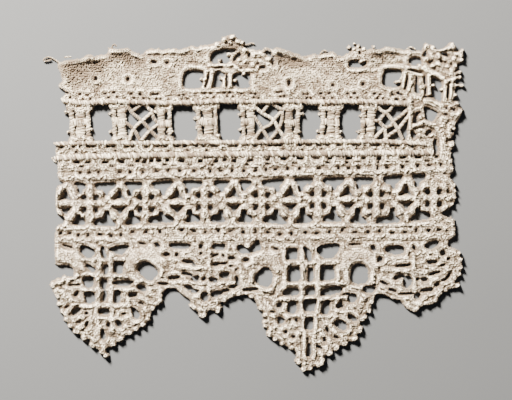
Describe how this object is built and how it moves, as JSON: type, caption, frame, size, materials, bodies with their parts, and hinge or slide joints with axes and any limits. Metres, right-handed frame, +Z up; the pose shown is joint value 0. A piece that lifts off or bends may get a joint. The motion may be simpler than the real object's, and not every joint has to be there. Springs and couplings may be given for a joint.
{
  "type": "lace fragment",
  "caption": "Fragment of old cream needle lace lying flat: a torn heading and square row above, a star band and hanging points below.",
  "frame": {"origin": "middle of the fragment's outline at the surface it lies on", "axes": "+X along the strips to the right end, +Y from the hanging points up to the torn heading, +Z up towards the viewer"},
  "size_m": [0.1443, 0.1172, 0.0033],
  "materials": {
    "upper_linen": "matt cream linen thread",
    "lower_linen": "matt cream linen thread"
  },
  "bodies": {
    "root": {"upper_strip": "upper_linen", "lower_strip": "lower_linen"}
  },
  "joints": []
}
